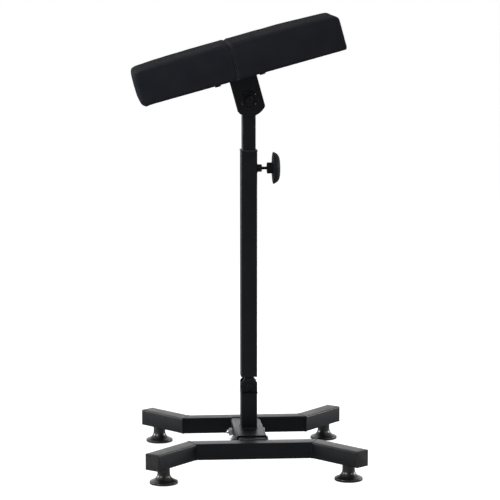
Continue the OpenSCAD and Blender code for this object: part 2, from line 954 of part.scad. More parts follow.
front_leg_beam();
front_left_arm();
front_right_arm();
rear_leg_beam();
rear_left_arm();
rear_right_arm();
front_left_cap();
front_right_cap();
rear_left_cap();
rear_right_cap();
foot_weld_nuts();
front_left_stud();
front_right_stud();
rear_left_stud();
rear_right_stud();
front_left_foot();
front_right_foot();
rear_left_foot();
rear_right_foot();
cross_tube();
saddle();
saddle_bolts();
saddle_nuts();
post_stub();
fold_fork();
fold_bolt();
fold_nut();
fold_washers();
fold_tongue();
column_tube();
column_collar();
clamp_boss();
clamp_shoe();
clamp_screw();
clamp_knob();
inner_tube();
inner_glide();
tilt_hubs();
tilt_sleeve();
tilt_bolt();
tilt_nut();
pad_bracket();
pad_plate();
pad_screws();
pad_tee_nuts();
pad_board();
pad_foam();
pad_cover();
pad_backing();
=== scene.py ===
# Tattoo arm rest stand: how it looks. Metres, +Z up, +X to the right, +Y to the back.
import math

import bpy
import numpy as np
from mathutils.bvhtree import BVHTree
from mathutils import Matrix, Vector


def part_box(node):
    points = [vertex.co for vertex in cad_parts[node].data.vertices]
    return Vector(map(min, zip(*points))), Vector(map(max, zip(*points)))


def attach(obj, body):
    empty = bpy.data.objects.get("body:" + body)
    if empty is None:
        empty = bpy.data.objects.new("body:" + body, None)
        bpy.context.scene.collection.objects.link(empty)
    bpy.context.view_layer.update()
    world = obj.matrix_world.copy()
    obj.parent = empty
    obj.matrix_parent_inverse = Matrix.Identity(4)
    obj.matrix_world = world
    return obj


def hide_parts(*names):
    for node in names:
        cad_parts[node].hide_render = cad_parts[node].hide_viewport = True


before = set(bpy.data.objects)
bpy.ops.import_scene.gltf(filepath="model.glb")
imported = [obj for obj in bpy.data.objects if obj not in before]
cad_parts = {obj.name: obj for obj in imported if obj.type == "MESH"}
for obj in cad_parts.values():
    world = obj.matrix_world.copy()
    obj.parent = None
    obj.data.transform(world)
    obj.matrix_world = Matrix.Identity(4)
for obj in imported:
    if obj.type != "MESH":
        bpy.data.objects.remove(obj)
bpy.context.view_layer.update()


# --- Camera -------------------------------------------------------------------------
# It stands 4.4 m off, a little to the left and above the stand, and looks slightly
# down. It has no shift, and everything is in focus.
def new_object(name, data):
    """An object of that data, linked to the scene at the origin."""
    made = bpy.data.objects.new(name, data)
    bpy.context.collection.objects.link(made)
    return made


focal_pixels = 2399.8
image_pixels = 500
camera_place = (-0.34906, -4.3841, 1.026)
degrees_down = 8.151
degrees_right = 4.586
far_clip = 60
camera_data = bpy.data.cameras.new("front_camera")
camera_data.lens = camera_data.sensor_width * focal_pixels / image_pixels
camera_data.clip_end = far_clip
camera = new_object("front_camera", camera_data)
camera.location = camera_place
camera.rotation_euler = (math.radians(90 - degrees_down), 0, math.radians(-degrees_right))
bpy.context.scene.camera = camera


# --- Leg tubes ----------------------------------------------------------------------
# Two legs of 30 mm square steel tube. Each has a straight middle and two arms that are
# mitred and welded to it, all powder coated satin black with a fine orange peel.
def shader_group(name, inputs, outputs):
    """A shader node group with sockets of these kinds, and its input and output nodes."""
    group = bpy.data.node_groups.new(name, "ShaderNodeTree")
    for label, kind, value in inputs:
        socket = group.interface.new_socket(label, in_out="INPUT", socket_type="NodeSocket" + kind)
        socket.default_value = value
    for label, kind in outputs:
        group.interface.new_socket(label, in_out="OUTPUT", socket_type="NodeSocket" + kind)
    return group, group.nodes.new("NodeGroupInput"), group.nodes.new("NodeGroupOutput")


def add(tree, kind, **values):
    """A node of that kind. Each value names a property of the node, or one of its inputs."""
    node = tree.nodes.new("ShaderNode" + kind)
    for name, value in values.items():
        if hasattr(node, name):
            setattr(node, name, value)
        else:
            node.inputs[name.replace("_", " ")].default_value = value
    return node


def feed(tree, *pairs):
    """Each pair is a value and the input that takes it: a number is set, an output is linked."""
    for value, socket in pairs:
        if isinstance(value, (int, float)):
            socket.default_value = value
        else:
            tree.links.new(value, socket)


def noise(tree, place, scale, detail=2.0):
    """Noise of that many lumps to a metre, or of the scale that a socket gives."""
    node = add(tree, "TexNoise", Detail=detail)
    feed(tree, (place, node.inputs["Vector"]), (scale, node.inputs["Scale"]))
    return node.outputs["Fac"]


def between(tree, factor, low, high, from_low=0.3, from_high=0.7):
    """Map Range from the noise's usual span to the span between two sockets or numbers."""
    node = add(tree, "MapRange")
    feed(tree, (factor, node.inputs["Value"]),
         (from_low, node.inputs["From Min"]), (from_high, node.inputs["From Max"]),
         (low, node.inputs["To Min"]), (high, node.inputs["To Max"]))
    return node.outputs["Result"]


# Handled surface: fine lumps for the height, and broad cloudy patches that carry the
# colour and, with finer streaks, the roughness from one given value to another.
patch_scale, patch_weight = 22.0, 0.6
streak_scale, streak_weight = 130.0, 0.4
handled, handled_in, handled_out = shader_group(
    "handled_surface",
    [("Lumps", "Float", 900.0), ("Colour", "Color", (0, 0, 0, 1)), ("Worn colour", "Color", (0, 0, 0, 1)),
     ("Roughness", "Float", 0.4), ("Worn roughness", "Float", 0.5)],
    [("Colour", "Color"), ("Roughness", "Float"), ("Height", "Float")])
handled_place = add(handled, "TexCoord").outputs["Object"]
fine_lumps = noise(handled, handled_place, handled_in.outputs["Lumps"], 1.0)
patches = noise(handled, handled_place, patch_scale, 4.0)
streaks = noise(handled, handled_place, streak_scale, 3.0)
handled_mix = add(handled, "Mix", data_type="RGBA")
rough_parts = add(handled, "Math", operation="ADD")
feed(handled,
     (between(handled, patches, 0.0, 1.0), handled_mix.inputs["Factor"]),
     (handled_in.outputs["Colour"], handled_mix.inputs["A"]),
     (handled_in.outputs["Worn colour"], handled_mix.inputs["B"]),
     (handled_mix.outputs["Result"], handled_out.inputs["Colour"]),
     (between(handled, patches, 0.0, patch_weight), rough_parts.inputs[0]),
     (between(handled, streaks, 0.0, streak_weight), rough_parts.inputs[1]),
     (between(handled, rough_parts.outputs[0], handled_in.outputs["Roughness"],
              handled_in.outputs["Worn roughness"], 0.0, 1.0), handled_out.inputs["Roughness"]),
     (fine_lumps, handled_out.inputs["Height"]))


finishes = {}


def new_finish(name, colour, worn, rough, worn_rough, lumps, depth, **constants):
    """A finish: the handled surface, with so many lumps to a metre, drives colour, roughness and
    a bump of that depth in metres. Each constant is set on the shader itself."""
    finish = finishes[name] = bpy.data.materials.new(name)
    finish.use_nodes = True
    tree = finish.node_tree
    shader = tree.nodes["Principled BSDF"]
    surface = add(tree, "Group", node_tree=handled)
    for label, value in (("Lumps", lumps), ("Colour", (*colour, 1)), ("Worn colour", (*worn, 1)),
                         ("Roughness", rough), ("Worn roughness", worn_rough)):
        surface.inputs[label].default_value = value
    bump = add(tree, "Bump", Strength=1.0, Distance=depth)
    feed(tree,
         (surface.outputs["Colour"], shader.inputs["Base Color"]),
         (surface.outputs["Roughness"], shader.inputs["Roughness"]),
         (surface.outputs["Height"], bump.inputs["Height"]),
         (bump.outputs["Normal"], shader.inputs["Normal"]))
    for label, value in constants.items():
        shader.inputs[label.replace("_", " ")].default_value = value


new_finish("frame_paint", (0.0018, 0.0024, 0.0045), (0.0036, 0.0042, 0.0065), 0.34, 0.46,
           700.0, 0.00003, Specular_IOR_Level=0.27)


def grid_faces(rows, columns, close_rows=False, close_columns=False):
    """Four-sided faces between neighbours of a grid of points that is numbered row by row."""
    row = np.arange(rows if close_rows else rows - 1)[:, None]
    column = np.arange(columns if close_columns else columns - 1)[None, :]
    next_row, next_column = (row + 1) % rows, (column + 1) % columns
    corners = [row * columns + column, row * columns + next_column,
               next_row * columns + next_column, next_row * columns + column]
    return np.stack(corners, -1).reshape(-1, 4).tolist()


def solid_of_rings(rings):
    """Skin through closed rings, each numbered anticlockwise about the way the rings go, with a
    flat face on the first and on the last."""
    rows, columns = rings.shape[:2]
    faces = grid_faces(rows, columns, close_columns=True)
    faces.append(list(range(columns))[::-1])
    faces.append(list(range((rows - 1) * columns, rows * columns)))
    return rings.reshape(-1, 3), faces


def torus_of_rings(rings):
    """Skin through closed rings, of which the last joins the first."""
    return rings.reshape(-1, 3), grid_faces(*rings.shape[:2], True, True)


def join(shells):
    """Several (points, faces) as one, with the faces of each renumbered by the points before it."""
    first = np.cumsum([0] + [len(points) for points, _ in shells])
    faces = [[k + start for k in face] for (_, shell), start in zip(shells, first) for face in shell]
    return np.concatenate([points for points, _ in shells]), faces


def new_mesh(name, points, faces):
    """A mesh of these points and faces."""
    mesh = bpy.data.meshes.new(name)
    mesh.from_pydata(np.asarray(points).tolist(), [], faces)
    return mesh


def piece(name, shell, finish, body, nodes=(), crease=32.0):
    """A piece of the stand from points and faces, smooth except where it turns by more than the
    crease angle, riding on its body in place of the nodes. Its slot has the finish's name."""
    mesh = new_mesh(name, *shell)
    mesh.materials.append(finishes[finish])
    mesh.shade_smooth()
    mesh.set_sharp_from_angle(angle=math.radians(crease))
    made = new_object(name, mesh)
    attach(made, body)
    if nodes:
        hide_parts(*nodes)
    return made


def rounded_rectangle(width, height, corner, steps=6):
    """Anticlockwise outline: four quarter circles about the corners' centres."""
    turn = np.arange(4)[:, None] * math.pi / 2 + np.linspace(0, math.pi / 2, steps + 1)
    centre = np.array([[1, 1], [-1, 1], [-1, -1], [1, -1]]) * [width / 2 - corner, height / 2 - corner]
    return (centre[:, None] + corner * np.stack([np.cos(turn), np.sin(turn)], -1)).reshape(-1, 2)


def carry(outline, start, run, up, at, face):
    """An outline across run through start, each point moved along run into the plane through at
    that has the normal face."""
    side = np.cross(up, run)
    flat = np.asarray(start) + outline[:, :1] * side + outline[:, 1:] * np.asarray(up)
    return flat + (((at - flat) @ face) / (run @ face))[:, None] * run


def corners_of(node):
    """The low and the high corner of a node's box."""
    return tuple(np.array(corner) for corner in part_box(node))


tube_corner = 0.0024
tube_wall = 0.0015
least_corner = 0.0006
up_axis = np.array([0.0, 0.0, 1.0])
right_axis = np.array([1.0, 0.0, 0.0])
back_axis = np.array([0.0, 1.0, 0.0])


def cut_tube(width, height, wall, run, up, start, start_face, end, end_face):
    """Hollow tube: its outline and the same one a wall further in are carried along run into the
    plane at each end, and the four rings in turn bound the outside, the ends and the inside."""
    rings = []
    for inset, at, face in ((0, start, start_face), (0, end, end_face),
                            (wall, end, end_face), (wall, start, start_face)):
        corner = max(tube_corner - inset, least_corner)
        outline = rounded_rectangle(width - 2 * inset, height - 2 * inset, corner)
        rings.append(carry(outline, start, run, up, at, face))
    return torus_of_rings(np.array(rings))


arm_angle = math.radians(49.5)
arm_length = {"front": 0.112, "rear": 0.101}
cap_plate = 0.0025
leg_low, leg_high = corners_of("rear_leg_beam")
tube_width = leg_high[2] - leg_low[2]
leg_half = leg_high[0] - tube_width * math.tan(arm_angle / 2)
leg_outer = leg_high[1]
leg_middle = leg_outer - tube_width / 2
tube_middle = (leg_low[2] + leg_high[2]) / 2
mitre_x = leg_half + tube_width / 2 * math.tan(arm_angle / 2)
corners = {"front_left": (-1, -1), "front_right": (1, -1), "rear_left": (-1, 1), "rear_right": (1, 1)}
mitres = {}
for corner_name, (side_x, side_y) in corners.items():
    run = np.array([side_x * math.cos(arm_angle), side_y * math.sin(arm_angle), 0])
    mitre_face = np.array([side_x * math.cos(arm_angle / 2), side_y * math.sin(arm_angle / 2), 0])
    mitre_at = np.array([side_x * mitre_x, side_y * leg_middle, tube_middle])
    tip = np.array([side_x * leg_half, side_y * leg_outer, tube_middle])
    tip = tip + run * (arm_length[corner_name.split("_")[0]] - cap_plate)
    mitres[corner_name] = (run, mitre_face, mitre_at)
    piece(f"{corner_name}_arm_tube",
          cut_tube(tube_width, tube_width, tube_wall, run, up_axis, mitre_at, mitre_face, tip, run),
          "frame_paint", "base", [f"{corner_name}_arm"])
for leg in arm_length:
    left, right = mitres[f"{leg}_left"], mitres[f"{leg}_right"]
    piece(f"{leg}_leg_tube",
          cut_tube(tube_width, tube_width, tube_wall, right_axis, up_axis, left[2], left[1],
                   right[2], right[1]),
          "frame_paint", "base", [f"{leg}_leg_beam"])

# --- Cross tube, post, column and inner tube ----------------------------------------
# A flat 50 by 30 mm tube joins the legs. The stub post and the column are the same
# 30 mm tube as the legs, and the 25 mm inner tube slides in the column.
cross_wall = 0.002
for name, node, run, up, wall, body in (
        ("cross_tube_bar", "cross_tube", back_axis, up_axis, cross_wall, "base"),
        ("post_tube", "post_stub", up_axis, back_axis, tube_wall, "base"),
        ("column_outer_tube", "column_tube", up_axis, back_axis, tube_wall, "column"),
        ("column_inner_tube", "inner_tube", up_axis, back_axis, tube_wall, "mast")):
    low, high = corners_of(node)
    middle = (low + high) / 2
    start = middle + run * (low - middle)
    end = middle + run * (high - middle)
    size = high - low
    height = size @ np.abs(up)
    width = size @ np.abs(np.cross(up, run))
    piece(name, cut_tube(width, height, wall, run, up, start, run, end, run),
          "frame_paint", body, [node])

# --- Weld beads ---------------------------------------------------------------------
# The painted beads of the welder's torch: round each mitre, round both ends of the
# cross tube, at the post's foot and top, and along the bracket on its plate.
bead_ripple = 0.0024
points_per_ripple = 5
least_swell = 0.92
swell_span = 0.16
least_tip = 0.02
bead_sizes = {"mitre": (0.0018, 0.0006), "cross": (0.0022, 0.0018), "post_foot": (0.0022, 0.0019),
              "post_top": (0.0015, 0.0009), "bracket": (0.0019, 0.0014)}


def full_turn(count):
    """That many angles at even steps round a circle."""
    return np.linspace(0, 2 * math.pi, count + 1)[:-1]


def length_walked(path):
    """Length of a line up to each of its points."""
    return np.concatenate([[0], np.cumsum(np.linalg.norm(np.diff(path, axis=0), axis=1))])


def at_length(wanted, walked, values):
    """Values along a line at the wanted lengths."""
    return np.stack([np.interp(wanted, walked, values[:, k]) for k in range(3)], -1)


def unit(vectors):
    """Rows of vectors, each of length one."""
    return vectors / np.linalg.norm(vectors, axis=1)[:, None]


def even_walk(path, step, closed):
    """Points at even distances along a line, found by the length walked so far."""
    path = np.concatenate([path, path[:1]]) if closed else np.asarray(path)
    walked = length_walked(path)
    count = max(4, int(round(walked[-1] / step)))
    wanted = np.linspace(0, walked[-1], count + 1)[:count if closed else None]
    return at_length(wanted, walked, path), wanted


def bead(path, face, half_width, height, closed=True):
    """Weld bead: an ellipse across each point of the path, which swells and shrinks by a tenth
    with each ripple. Outwards is the path's direction crossed with face."""
    path, walked = even_walk(path, bead_ripple / points_per_ripple, closed)
    if closed:
        tangent = np.roll(path, -1, 0) - np.roll(path, 1, 0)
    else:
        tangent = np.gradient(path, axis=0)
    tangent = unit(tangent)
    outward = unit(np.cross(tangent, face))
    across = np.cross(outward, tangent)
    swell = least_swell + swell_span * np.abs(np.sin(math.pi * walked / bead_ripple))
    if not closed:
        ends = np.minimum(walked, walked[-1] - walked) / half_width
        swell = swell * np.sqrt(np.clip(1 - (1 - np.clip(ends, 0, 1)) ** 2, least_tip, 1))
    turn = full_turn(8)[:, None]
    ring = half_width * np.cos(turn) * across[:, None] + height * np.sin(turn) * outward[:, None]
    rings = path[:, None] + swell[:, None, None] * ring
    return torus_of_rings(rings) if closed else solid_of_rings(rings)


mitre_beads = []
for run, mitre_face, mitre_at in mitres.values():
    outline = rounded_rectangle(tube_width, tube_width, tube_corner)
    mitre_beads.append(bead(carry(outline, mitre_at, run, up_axis, mitre_at, mitre_face),
                            mitre_face, *bead_sizes["mitre"]))
piece("leg_mitre_welds", join(mitre_beads), "frame_paint", "base")

cross_low, cross_high = corners_of("cross_tube")
cross_outline = rounded_rectangle(cross_high[0] - cross_low[0], cross_high[2] - cross_low[2], tube_corner)
cross_beads = []
for y in (cross_low[1], cross_high[1]):
    at = np.array([0, y, tube_middle])
    cross_beads.append(bead(carry(cross_outline, at, back_axis, up_axis, at, back_axis),
                            back_axis, *bead_sizes["cross"]))
piece("cross_tube_welds", join(cross_beads), "frame_paint", "base")

post_low, post_high = corners_of("post_stub")
post_outline = rounded_rectangle(post_high[0] - post_low[0], post_high[1] - post_low[1], tube_corner)
post_outline = post_outline + ((post_low + post_high) / 2)[:2]
post_beads = [bead(np.column_stack([post_outline, np.full(len(post_outline), z)]), up_axis, *bead_sizes[end])
              for z, end in ((post_low[2], "post_foot"), (post_high[2], "post_top"))]
piece("post_welds", join(post_beads), "frame_paint", "base")

pad_tilt = math.radians(15.4)
pad_along = np.array([math.cos(pad_tilt), 0, math.sin(pad_tilt)])
pad_up = np.array([-math.sin(pad_tilt), 0, math.cos(pad_tilt)])
hub_low, hub_high = corners_of("tilt_hubs")
tilt_pivot = (hub_low + hub_high) / 2
bracket_height = 0.044
bracket_half = hub_high[1]
bracket_seam_middle = 0.013
bracket_seam_half = 0.009
seam_out = 0.0002
seam_down = 0.0004


def on_pad(u, y, v):
    """Points given along the pad, across it and up from the tilt pivot, placed in the stand."""
    u, y, v = np.broadcast_arrays(u, y, v)
    return tilt_pivot + u[..., None] * pad_along + y[..., None] * back_axis + v[..., None] * pad_up


bracket_beads = []
for side_y in (-1, 1):
    for u in (-bracket_seam_middle, bracket_seam_middle):
        seam = on_pad(np.linspace(u - bracket_seam_half, u + bracket_seam_half, 12),
                      side_y * (bracket_half + seam_out), bracket_height - seam_down)
        bracket_beads.append(bead(seam, side_y * pad_up, *bead_sizes["bracket"], closed=False))
piece("bracket_welds", join(bracket_beads), "frame_paint", "pad")


# --- Folded and turned steel --------------------------------------------------------
# The saddle, fork, tongue, bracket, plate and boss are sheet and bar steel in the
# frame's coat. Their own solids show, with the sheared edges rounded over.
def dress(node, finish, eased=0.0, segments=2):
    """Gives a solid its finish and the slot of that name. Where a width is given, its loose
    triangles are welded and its edges are rounded over by that width."""
    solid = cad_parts[node]
    if eased:
        weld = solid.modifiers.new("merge_corners", "WELD")
        weld.merge_threshold = 0.00001
        bevel = solid.modifiers.new("eased_edges", "BEVEL")
        bevel.width = eased
        bevel.segments = segments
        bevel.limit_method = "ANGLE"
        bevel.angle_limit = math.radians(35)
        bevel.harden_normals = False
    solid.data.materials.clear()
    solid.data.materials.append(finishes[finish])


for node, width in (("saddle", 0.0005), ("fold_fork", 0.0005), ("fold_tongue", 0.0005),
                    ("clamp_boss", 0.0004), ("pad_bracket", 0.0005), ("pad_plate", 0.0005)):
    dress(node, "frame_paint", width)

# --- End caps and collar ------------------------------------------------------------
# Black plastic plugs close the arms, and a thin collar guides the inner tube in the
# column's end. Both are injection moulded with a fine spark-eroded grain.
new_finish("cap_plastic", (0.013, 0.013, 0.0135), (0.02, 0.02, 0.0206), 0.42, 0.56,
           1800.0, 0.000015, Specular_IOR_Level=0.22)
for corner_name in corners:
    dress(f"{corner_name}_cap", "cap_plastic", 0.001, 3)
dress("column_collar", "cap_plastic", 0.0005)

# --- Studs and feet -----------------------------------------------------------------
# Four M8 studs of zinc plated steel screw up into the arms, each moulded into a round
# bell-shaped foot of glossy black plastic.
rows_per_pitch = 6
thread_depth = 0.55
flank_slope = 1.6
crest_share = 0.3
chamfer_depth = 0.7
m8_thread = (0.008, 0.00125)
m6_thread = (0.006, 0.001)
thread_crease = 80


def spokes(turn, run, side):
    """Ways out from an axis along run, at those angles from side."""
    return np.cos(turn)[..., None] * side + np.sin(turn)[..., None] * np.cross(run, side)


def threaded_rod(start, run, side, length, diameter, pitch):
    """Thread of that diameter and pitch: the radius falls and rises once for each pitch walked along
    the rod, less the share of a turn at which the point stands. Both ends are chamfered."""
    rows = int(round(length / pitch * rows_per_pitch))
    along = np.linspace(0, length, rows + 1)[:, None]
    turn = full_turn(24)[None]
    phase = (along / pitch - turn / (2 * math.pi)) % 1
    depth = thread_depth * pitch * np.clip(flank_slope * np.abs(2 * phase - 1) - crest_share, 0, 1)
    ends = np.clip(np.minimum(along, length - along) / pitch, 0, 1)
    radius = diameter / 2 - np.maximum(depth, chamfer_depth * pitch * (1 - ends))
    return solid_of_rings(np.asarray(start) + along[..., None] * run
                          + radius[..., None] * spokes(turn, run, side))


def smooth_line(marks, steps):
    """Catmull-Rom curve through the marks: each stretch is the cubic that has, at both its ends,
    half the step between the marks on either side as its slope. A doubled mark is a corner."""
    marks = np.asarray(marks, float)
    padded = np.concatenate([marks[:1], marks, marks[-1:]])
    a, b, c, d = padded[:-3, None], padded[1:-2, None], padded[2:-1, None], padded[3:, None]
    t = np.linspace(0, 1, steps + 1)[None, :-1, None]
    line = 0.5 * (2 * b + (c - a) * t + (2 * a - 5 * b + 4 * c - d) * t ** 2
                  + (3 * b - a - 3 * c + d) * t ** 3)
    line = np.concatenate([line.reshape(-1, marks.shape[1]), marks[-1:]])
    keep = np.concatenate([[True], np.linalg.norm(np.diff(line, axis=0), axis=1) > 1e-6])
    return line[keep]


def turned(profile, origin, run, side, columns=64):
    """Solid of revolution: a profile of (radius, height) is turned about run."""
    return solid_of_rings(np.asarray(origin) + profile[:, :1, None] * spokes(full_turn(columns), run, side)
                          + profile[:, 1:, None] * run)


new_finish("zinc_steel", (0.6, 0.6, 0.61), (0.42, 0.42, 0.43), 0.26, 0.42,
           1500.0, 0.000008, Metallic=1.0)
new_finish("foot_plastic", (0.004, 0.004, 0.004), (0.007, 0.007, 0.007), 0.3, 0.38,
           900.0, 0.000008, Specular_IOR_Level=0.6)
foot_profile = smooth_line(
    [(0.0238, 0.0008), (0.0238, 0.0008), (0.0238, 0), (0.0238, 0), (0.0248, 0.0002), (0.0254, 0.0008),
     (0.0255, 0.0016), (0.0255, 0.0036), (0.0252, 0.0044), (0.0242, 0.0051), (0.0215, 0.0062),
     (0.0187, 0.0074), (0.0163, 0.009), (0.0144, 0.011), (0.0127, 0.0134), (0.01175, 0.0162),
     (0.01135, 0.0195), (0.01125, 0.024), (0.01125, 0.0278), (0.011, 0.0287), (0.0103, 0.029),
     (0.0103, 0.029), (0.0043, 0.029), (0.0043, 0.029), (0.00405, 0.0286), (0.00405, 0.0286),
     (0.00405, 0.012)], 3)
foot_hollow = [[0.0008, 0.0008]]
foot_profile = np.concatenate([foot_hollow, foot_profile])
for corner_name in corners:
    low, high = corners_of(f"{corner_name}_stud")
    middle = (low + high) / 2
    stud_low = np.array([middle[0], middle[1], low[2]])
    piece(f"{corner_name}_stud_thread",
          threaded_rod(stud_low, up_axis, right_axis, high[2] - low[2], *m8_thread),
          "zinc_steel", f"{corner_name}_stud", [f"{corner_name}_stud"], thread_crease)
    foot_at = np.array([middle[0], middle[1], 0])
    piece(f"{corner_name}_bell_foot", turned(foot_profile, foot_at, up_axis, right_axis),
          "foot_plastic", f"{corner_name}_foot", [f"{corner_name}_foot"])
dress("foot_weld_nuts", "zinc_steel", 0.0004)

# --- Bolts, nuts and washers --------------------------------------------------------
# M8 hex bolts clamp the saddle through the cross tube and carry the two hinges. The
# saddle's are bright zinc, those of the hinges are blackened.
rim_share = 0.95
chamfer_slope = math.tan(math.radians(30))
head_bore = 0.0004
rod_ease = 0.0002
rod_top_share, rod_shoulder_share = 0.96, 0.9
hex_width = 0.013
head_height = 0.0055
nut_height = 0.0065
nut_bore = 0.0039
saddle_thread = 0.014
hinge_thread = 0.016


def hexagon_block(origin, run, side, width, height, bore, both=False):
    """Hex head or nut: the radius of each point is the hexagon's at its angle, and the flat
    ends are cut by a cone of 30 degrees that starts a little inside the flats."""
    turn = full_turn(48)
    hexagon = width / 2 / np.cos((turn % (math.pi / 3)) - math.pi / 6)
    rim = np.full_like(turn, width / 2 * rim_share)
    cut = (hexagon - rim) * chamfer_slope
    hole = np.full_like(turn, bore)
    bottom = cut if both else np.zeros_like(turn)
    rows = [(hole, 0 * turn), (rim, 0 * turn), (hexagon, bottom), (hexagon, height - cut),
            (rim, height + 0 * turn), (hole, height + 0 * turn)]
    out = spokes(turn, run, side)
    return torus_of_rings(np.array([np.asarray(origin) + r[:, None] * out + z[:, None] * run
                                    for r, z in rows]))


def hex_bolt(seat, run, side, width, head, shank, diameter, pitch, threaded):
    """Bolt: a hex head behind its seat, a plain shank, and a threaded end."""
    seat = np.asarray(seat, float)
    plain = shank - threaded
    rod = np.array([[rod_ease, -head * rod_top_share], [diameter / 2 - rod_ease, -head * rod_top_share],
                    [diameter / 2, -head * rod_shoulder_share], [diameter / 2, plain]])
    return join([hexagon_block(seat, -run, side, width, head, head_bore),
                 turned(rod, seat, run, side, 32),
                 threaded_rod(seat + run * plain, run, side, threaded, diameter, pitch)])


def m8_bolt(seat, run, side, shank, threaded):
    """The M8 bolt of the saddle and the hinges."""
    return hex_bolt(seat, run, side, hex_width, head_height, shank, *m8_thread, threaded)


def m8_nut(seat, run, side):
    """Its nut, chamfered on both faces."""
    return hexagon_block(seat, run, side, hex_width, nut_height, nut_bore, True)


new_finish("black_steel", (0.006, 0.006, 0.0068), (0.018, 0.018, 0.0185), 0.3, 0.45,
           1500.0, 0.00001, Metallic=0.5, Specular_IOR_Level=0.2)
bolt_low, bolt_high = corners_of("saddle_bolts")
saddle_low, saddle_high = corners_of("saddle")
saddle_bolts, saddle_nuts = [], []
for y in (bolt_low[1] + hex_width / 2, bolt_high[1] - hex_width / 2):
    z = (bolt_low[2] + bolt_high[2]) / 2
    saddle_bolts.append(m8_bolt(np.array([saddle_high[0], y, z]), -right_axis, up_axis,
                                saddle_high[0] - bolt_low[0], saddle_thread))
    saddle_nuts.append(m8_nut(np.array([saddle_low[0], y, z]), -right_axis, up_axis))
piece("saddle_cross_bolts", join(saddle_bolts), "zinc_steel", "base", ["saddle_bolts"])
piece("saddle_hex_nuts", join(saddle_nuts), "zinc_steel", "base", ["saddle_nuts"])

for hinge, body in (("fold", "base"), ("tilt", "mast")):
    low, high = corners_of(f"{hinge}_bolt")
    nut_low, _ = corners_of(f"{hinge}_nut")
    seat = np.array([0, low[1] + head_height, (low[2] + high[2]) / 2])
    piece(f"{hinge}_hinge_bolt", m8_bolt(seat, back_axis, right_axis, high[1] - seat[1], hinge_thread),
          "black_steel", body, [f"{hinge}_bolt"])
    piece(f"{hinge}_hinge_nut", m8_nut(np.array([0, nut_low[1], seat[2]]), back_axis, right_axis),
          "black_steel", body, [f"{hinge}_nut"])
dress("fold_washers", "black_steel", 0.0003)
dress("tilt_hubs", "black_steel", 0.0004)
dress("tilt_sleeve", "zinc_steel")

# --- Clamp knob ---------------------------------------------------------------------
# A mushroom knob of dull black plastic on an M6 screw. Its nylon shoe presses on the
# inner tube, and the screw runs in the boss that is welded to the column.
new_finish("knob_plastic", (0.0078, 0.0084, 0.0096), (0.0118, 0.0125, 0.014), 0.5, 0.62,
           1200.0, 0.00001, Specular_IOR_Level=0.05)
new_finish("nylon", (0.72, 0.71, 0.66), (0.62, 0.6, 0.54), 0.45, 0.6, 900.0, 0.00001)
knob_low, knob_high = corners_of("clamp_knob")
knob_at = np.array([knob_low[0], 0, (knob_low[2] + knob_high[2]) / 2])
knob_profile = smooth_line(
    [(0.0096, 0), (0.0096, 0), (0.0101, 0.0002), (0.0103, 0.0008), (0.0103, 0.003), (0.0103, 0.0096),
     (0.0105, 0.0105), (0.0112, 0.011), (0.012, 0.011), (0.012, 0.011), (0.022, 0.011), (0.0268, 0.0108),
     (0.0285, 0.011), (0.0293, 0.0115), (0.02945, 0.0126), (0.0285, 0.0146), (0.0276, 0.0163),
     (0.0265, 0.0181), (0.0248, 0.0198), (0.0224, 0.0215), (0.0195, 0.0227), (0.0148, 0.0235),
     (0.0088, 0.02385), (0.0035, 0.02398), (0.0006, 0.024)], 4)
screw_hole = [[0.003, 0]]
knob_profile = np.concatenate([screw_hole, knob_profile])
piece("clamp_mushroom_knob", turned(knob_profile, knob_at, right_axis, back_axis, 96),
      "knob_plastic", "knob", ["clamp_knob"])
screw_low, screw_high = corners_of("clamp_screw")
screw_at = np.array([screw_low[0], 0, knob_at[2]])
piece("clamp_screw_thread",
      threaded_rod(screw_at, right_axis, back_axis, screw_high[0] - screw_low[0], *m6_thread),
      "black_steel", "knob", ["clamp_screw"], thread_crease)
dress("clamp_shoe", "nylon", 0.0003)
dress("inner_glide", "nylon", 0.0003)

# --- Board and its screws -----------------------------------------------------------
# A plywood board stiffens the cushion. Four M6 hex screws pass through the steel plate
# into tee nuts in the board.
new_finish("plywood", (0.55, 0.4, 0.24), (0.42, 0.28, 0.15), 0.6, 0.75, 300.0, 0.00005)
dress("pad_board", "plywood", 0.0008)
dress("pad_tee_nuts", "zinc_steel", 0.0002)
screw_width = 0.010
screw_head = 0.0042
screw_thread = 0.012
screw_rise = 0.0605 - bracket_height
plate_middle = -0.008
screw_half_u = 0.042
screw_half_y = 0.045
pad_screws = []
for u in (plate_middle - screw_half_u, plate_middle + screw_half_u):
    for y in (-screw_half_y, screw_half_y):
        pad_screws.append(hex_bolt(on_pad(u, y, bracket_height), pad_up, pad_along, screw_width, screw_head,
                                   screw_rise, *m6_thread, screw_thread))
piece("pad_hex_screws", join(pad_screws), "black_steel", "pad", ["pad_screws"])

# --- Cushion ------------------------------------------------------------------------
# Firm foam on the board under black vinyl leatherette, pulled tight and stapled below.
# A sewn seam crosses it near the middle, and the vinyl puckers at the lower corners.
pad_shift = -0.0022
pad_half_length = 0.192
pad_half_depth = 0.0985
pad_thickness = 0.064
front_corner = 0.0065
rear_corner = 0.018
least_pad_corner = 0.002
pad_bow = 0.0015
pad_fall = 0.0018
level_half = 0.06
front_share = 0.37
right_share = 0.13
outline_step = 0.004
outline_points = 240
under = 0.047
slack = 0.0004
stretched = 0.0005
pad_profile = np.array([
    (0.6, -0.01), (0.3, -0.01), (0.1, -0.01), (0.02, -0.01), (0.002, 0.01), (0, 0.06), (-0.004, 0.28),
    (-0.006, 0.48), (-0.005, 0.68), (-0.002, 0.81), (0.01, 0.88), (0.042, 0.932), (0.095, 0.958),
    (0.177, 0.965), (0.301, 0.968), (0.488, 0.969), (0.738, 0.969), (1.045, 0.969), (2.1, 0.969)])


